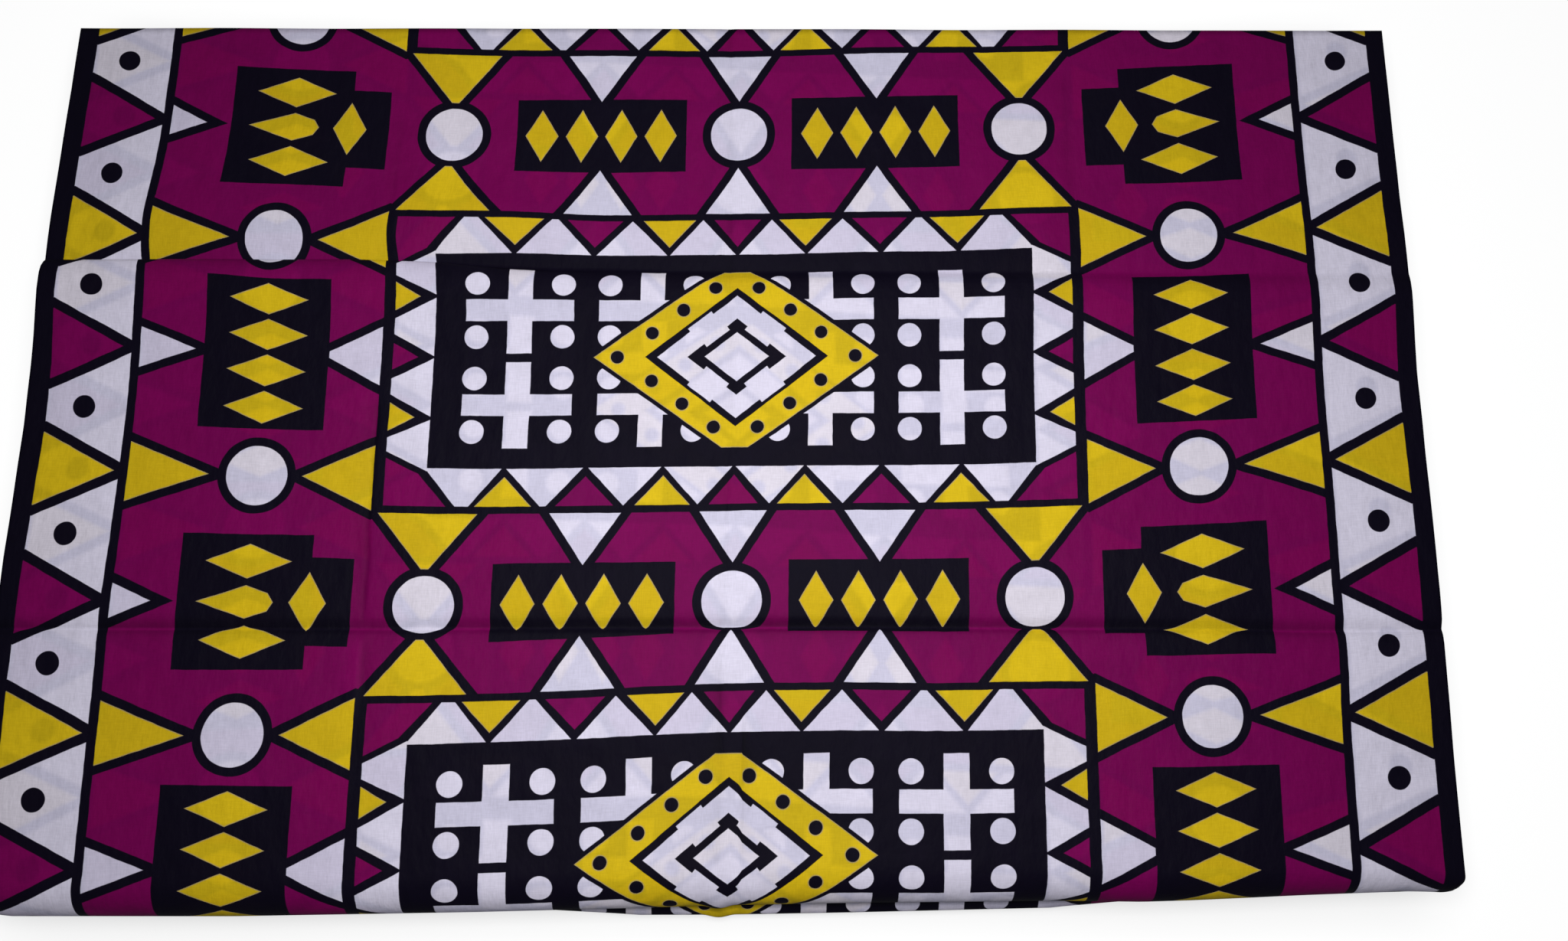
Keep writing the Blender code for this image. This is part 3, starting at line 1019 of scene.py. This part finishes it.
def chosen(pen, ink, black, white, yellow, purple):
    """The colour that an ink stands for, and its shares of the three that aren't black."""
    shares = pen.node("ShaderNodeSeparateColor", {0: ink}).outputs
    colour = pen.mix(shares[0], black, white)
    colour = pen.mix(shares[1], colour, yellow)
    return pen.mix(shares[2], colour, purple), shares


def noise(pen, place, size, detail=2.0, out="Fac"):
    """A noise texture at a place in millimetres, with blotches of the given size."""
    return pen.node("ShaderNodeTexNoise",
                    {"Vector": place, "Scale": 1.0 / size, "Detail": detail}).outputs[out]


def lag(pen, u):
    """How far further along the print the layer beneath lies, from UNDER_LAG."""
    (start, _), (end, most) = UNDER_LAG[0], UNDER_LAG[-1]
    curve = pen.node("ShaderNodeFloatCurve", {})
    points = curve.mapping.curves[0].points
    while len(points) < len(UNDER_LAG):
        points.new(0.5, 0.5)
    for point, (place, value) in zip(points, UNDER_LAG):
        point.location = ((place - start) / (end - start), value / most)
        point.handle_type = "AUTO"
    curve.mapping.update()
    share = pen.maths("MULTIPLY_ADD", u, 1 / (end - start), -start / (end - start))
    pen.fill(curve, {"Value": share})
    return pen.maths("MULTIPLY", curve.outputs[0], most)


def show_through(pen, chart, place, light):
    """What the layer beneath does to the colour, more so where the ink on top is light."""
    u, v = pen.split(place)
    beneath = pen.join(pen.maths("ADD", u, UNDER_SHIFT), pen.maths("ADD", v, lag(pen, u)))
    under = pen.node("ShaderNodeGroup", {"Place": beneath, "Sharpness": UNDER_SHARPNESS},
                     node_tree=chart)
    tint, _ = chosen(pen, under.outputs["Ink"], SHOW_BLACK, SHOW_WHITE, SHOW_YELLOW, SHOW_PURPLE)
    faint = pen.scaled(pen.mix(FAINT_SHARE, SHOW_WHITE, tint), FAINT_GAIN)
    return pen.mix(light, faint, tint)


def weave(pen, place):
    """The height of a plain weave: each thread rises over one and dips under the next."""
    u, v = pen.split(place)
    step = math.pi / THREAD
    wave_u = pen.maths("SINE", pen.maths("MULTIPLY", u, step))
    wave_v = pen.maths("SINE", pen.maths("MULTIPLY", v, step))
    return pen.maths("MULTIPLY", wave_u, wave_v)


def new_material(name):
    """A material, its shader, and a pen on its nodes."""
    material = bpy.data.materials.new(name)
    material.use_nodes = True
    return material, material.node_tree.nodes["Principled BSDF"], Pen(material.node_tree)


def cotton(name, chart, shows_through):
    """Printed cotton: the chart's inks, the layer beneath and the creases' painted shade and
    highlight or the edge threads with a painted sheen, and the weave.
    """
    material, shader, pen = new_material(name)
    uv = pen.node("ShaderNodeUVMap", {}, uv_map="cloth").outputs[0]
    place = pen.scaled(uv, 1000.0)
    wobble = noise(pen, place, WOBBLE_SIZE, out="Color")
    wobble = pen.vector("MULTIPLY", pen.vector("SUBTRACT", wobble, (0.5, 0.5, 0.5)), WOBBLE)
    drawn = pen.vector("ADD", place, wobble)
    top = pen.node("ShaderNodeGroup", {"Place": drawn, "Sharpness": EDGE_SHARPNESS},
                   node_tree=chart)
    colour, inks = chosen(pen, top.outputs["Ink"], BLACK, WHITE, YELLOW, PURPLE)
    light = pen.maths("ADD", inks[0], inks[1], clamp=True)
    if shows_through:
        colour = pen.vector("MULTIPLY", colour, show_through(pen, chart, place, light))
    blotch = noise(pen, place, BLOTCH_SIZE, detail=4.0)
    across = pen.vector("MULTIPLY", place, (1.0, THREAD_RUN, 1.0))
    along = pen.vector("MULTIPLY", place, (THREAD_RUN, 1.0, 1.0))
    threads = pen.maths("ADD", noise(pen, across, THREAD_SIZE), noise(pen, along, THREAD_SIZE))
    tone = pen.maths("MULTIPLY_ADD", threads, *THREAD_TONE)
    tone = pen.maths("MULTIPLY", tone, pen.maths("MULTIPLY_ADD", blotch, *BLOTCH_TONE))
    # the creases' painted shade and highlight on the printed cloth; on the layers inside, the edge
    # threads with their painted sheen
    painted_shade_and_threads_mark = pen.node("ShaderNodeAttribute", {}, attribute_name=PAINTED_SHADE_AND_THREADS_LAYER).outputs["Fac"]
    if shows_through:
        # painted shade and highlight in the creases, weaker on the light inks
        takes = pen.maths("MULTIPLY_ADD", light, LIGHT_INK_PAINTED_SHADE - 1.0, 1.0)
        tone = pen.maths("MULTIPLY", tone, pen.maths("MULTIPLY_ADD", painted_shade_and_threads_mark, takes, 1.0))
    else:
        # undyed edge threads with a painted sheen, at each layer's edge tip
        threads_and_painted_sheen = pen.maths("MULTIPLY", painted_shade_and_threads_mark, pen.maths("MULTIPLY_ADD", blotch, *EDGE_THREADS_AND_PAINTED_SHEEN_TONE))
        threads_and_painted_sheen = pen.maths("MULTIPLY", threads_and_painted_sheen, EDGE_THREADS_AND_PAINTED_SHEEN_SHARE)
        colour = pen.mix(threads_and_painted_sheen, colour, EDGE_THREADS_AND_PAINTED_SHEEN)
    colour = pen.scaled(colour, tone)
    strength, height = WEAVE_BUMP
    bump = pen.node("ShaderNodeBump", {"Height": pen.maths("ADD", threads, weave(pen, place)),
                                       "Strength": strength, "Distance": height})
    rucks = noise(pen, pen.vector("MULTIPLY", place, RUCK_STRETCH), RUCK_SIZE, detail=3.0)
    bump = pen.node("ShaderNodeBump", {"Height": rucks, "Strength": 1.0,
                                       "Distance": RUCK_HEIGHT, "Normal": bump.outputs[0]})
    pen.fill(shader, {"Base Color": colour, "Normal": bump.outputs[0], **COTTON_SURFACE})
    return material


def inner_rings():
    """Rings down the inner layers' edge: height share, height offset, insets, and the layer."""
    rings = []
    for k, (share, left, right, far) in enumerate(LAYERS):
        above_far = far - LOOP_REACH if k - 1 in LOOPED else far + HOLLOW_DEPTH
        below_far = far - LOOP_REACH if k in LOOPED else far + HOLLOW_DEPTH
        deep = (left + HOLLOW_DEPTH, right + HOLLOW_DEPTH)
        shoulder = (left + LAYER_ROUND, right + LAYER_ROUND, far)
        for offset, insets in ((LAYER_HALF, (*deep, above_far)), (LAYER_HALF, shoulder),
                               (0.0, (left, right, far - LAYER_ROUND)),
                               (-LAYER_HALF, shoulder), (-LAYER_HALF, (*deep, below_far))):
            rings.append((share, offset, insets, k))
    return rings


def layer_sway(x, y, k):
    """How far a layer rises at a point of its edge, and how far it is drawn in there."""
    rise = 0.0
    for size, rate_x, rate_y, turn in LAYER_WAVES:
        rise += size * math.sin(rate_x * x + rate_y * y + turn * k)
    size, rate, turn = LAYER_RAGGED
    return rise, size * math.sin(rate * (x + y) + turn * k)


def every(step, count):
    """Every so many of the places from 0 to count, with the last."""
    return np.unique(np.concatenate([np.arange(0, count, step), [count]]))


def build_inner(grid, shares, top_count, materials):
    """The layers inside the fold, as one soft solid with each layer's edge standing out."""
    skin_in = grid - outward(grid) * INNER_DEPTH
    columns = every(INNER_COLUMN_STEP, len(shares) - 1)
    rows = every(INNER_ROW_STEP, top_count)
    nose = skin_in[top_count:top_count + NOSE_ROWS + 1]
    cap = skin_in[np.ix_(rows, columns)].copy()
    cap[:, 0, 0] += HOLLOW_DEPTH
    cap[:, -1, 0] -= HOLLOW_DEPTH
    cap[0, :, 1] -= HOLLOW_DEPTH
    half_width = CLOTH_WIDTH / 2 * 1000
    cap_u = np.tile(shares[columns] * half_width, (len(rows), 1))
    mesh = bmesh.new()
    places = []
    verts = add_points(mesh, places, cap, cap_u, cap[:, :, 1] * 1000)
    tones = [0.0] * len(places)
    skin(mesh, verts, flip=False)
    spots = rim([[(i, j) for j in range(len(columns))] for i in range(len(rows))])
    above = rim(verts)
    for share, offset, (left, right, far), k in inner_rings():
        ring = []
        for i, j in spots:
            x, y, top = skin_in[rows[i], columns[j]]
            rise, ragged = layer_sway(x, y, k)
            z = INNER_DEPTH + (top - INNER_DEPTH) * share + offset
            if 0 < k < len(LAYERS) - 1:
                z += rise
            if i == len(rows) - 1:
                fold = nose[::-1, columns[j]]
                y = float(np.interp(z, fold[:, 2], fold[:, 1])) + NOSE_CLEARANCE
            if j == 0:
                x += left + ragged
            if j == len(columns) - 1:
                x -= right + ragged
            if i == 0:
                y -= far + ragged
            ring.append(mesh.verts.new((x, y, z)))
            across = (x - centre_x(y)) * 1000
            at_side = j in (0, len(columns) - 1)
            if at_side:
                hidden = (half_width - abs(across)) * SIDE_SHOWS
                across = math.copysign(half_width - hidden, across)
            places.append((across, (y + z) * 1000 + LAYER_PRINT_STEP * k))
            # each layer's edge tip at the sides takes the undyed threads and their painted sheen
            tones.append(1.0 if at_side and offset == 0.0 else 0.0)
        join_rims(mesh, above, ring)
        above = ring
    mesh.faces.new(above)
    mesh.verts.index_update()
    bmesh.ops.recalc_face_normals(mesh, faces=mesh.faces)
    return finish_mesh("folded_layers", mesh, places, materials, tones)


def add_camera():
    """The camera at the photograph's angle."""
    camera = add_object("camera", bpy.data.cameras.new("camera"))
    camera.location = CAMERA_PLACE
    camera.rotation_euler = [math.radians(angle) for angle in CAMERA_TURN]
    camera.data.lens = LENS
    camera.data.sensor_width = SENSOR
    camera.data.clip_start = CAMERA_CLIP
    bpy.context.scene.camera = camera


def add_area_light(name, place, aim, size, power):
    """A soft square light aimed at a point."""
    data = bpy.data.lights.new(name, "AREA")
    data.shape = "SQUARE"
    data.size = size
    data.energy = power
    light = add_object(name, data)
    light.location = place
    light.rotation_mode = "QUATERNION"
    light.rotation_quaternion = (Vector(place) - Vector(aim)).to_track_quat("Z", "Y")
    light.visible_camera = False


def floor_paper():
    """Pale paper that glows a little, less so close to the cloth: a painted shadow in its glow."""
    paper, shader, pen = new_material("floor_paper")
    nearness = pen.node("ShaderNodeAmbientOcclusion", {"Distance": FLOOR_SHADE_REACH}, samples=8)
    # the glow dims near the cloth: a painted shadow
    glow = pen.maths("MULTIPLY_ADD", nearness.outputs["AO"], *FLOOR_GLOW)
    pen.fill(shader, {"Emission Strength": glow, **PAPER_SURFACE})
    return paper


def add_studio():
    """A plain pale floor with a painted shadow near the cloth, and plain soft light."""
    world = bpy.data.worlds.new("studio")
    world.use_nodes = True
    Pen(world.node_tree).fill(world.node_tree.nodes["Background"], WORLD_LIGHT)
    bpy.context.scene.world = world
    for light in LIGHTS:
        add_area_light(*light)
    data = bpy.data.meshes.new("floor")
    corners = [(x * FLOOR_REACH, y * FLOOR_REACH, 0.0)
               for x, y in ((-1, -1), (1, -1), (1, 1), (-1, 1))]
    data.from_pydata(corners, [], [(0, 1, 2, 3)])
    data.materials.append(floor_paper())
    floor = add_object("floor", data)
    floor.location.z = -FLOOR_DROP
    floor.visible_diffuse = False
    floor.visible_glossy = False


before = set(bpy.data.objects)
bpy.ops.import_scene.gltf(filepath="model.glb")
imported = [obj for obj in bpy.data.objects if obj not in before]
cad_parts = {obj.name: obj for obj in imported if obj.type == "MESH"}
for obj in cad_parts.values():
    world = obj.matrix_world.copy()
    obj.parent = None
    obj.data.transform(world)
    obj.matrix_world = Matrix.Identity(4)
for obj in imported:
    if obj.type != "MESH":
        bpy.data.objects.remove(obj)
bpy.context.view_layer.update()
bpy.context.scene.view_settings.view_transform = "Standard"
add_camera()
add_studio()

charts = (("field", chart_field()), ("side", chart_side()), ("border", chart_border()))
top_materials = [cotton("printed_cotton_" + name, chart, True) for name, chart in charts]
inner_materials = [cotton("folded_cotton_" + name, chart, False) for name, chart in charts]

shares = column_shares()
grid, top_count = base_grid(shares)
printed_cloth = build_outer(grid, shares, top_count, top_materials)
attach(printed_cloth, "root")
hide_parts("cloth_outer")

folded_layers = build_inner(grid, shares, top_count, inner_materials)
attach(folded_layers, "root")
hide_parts("cloth_inner")
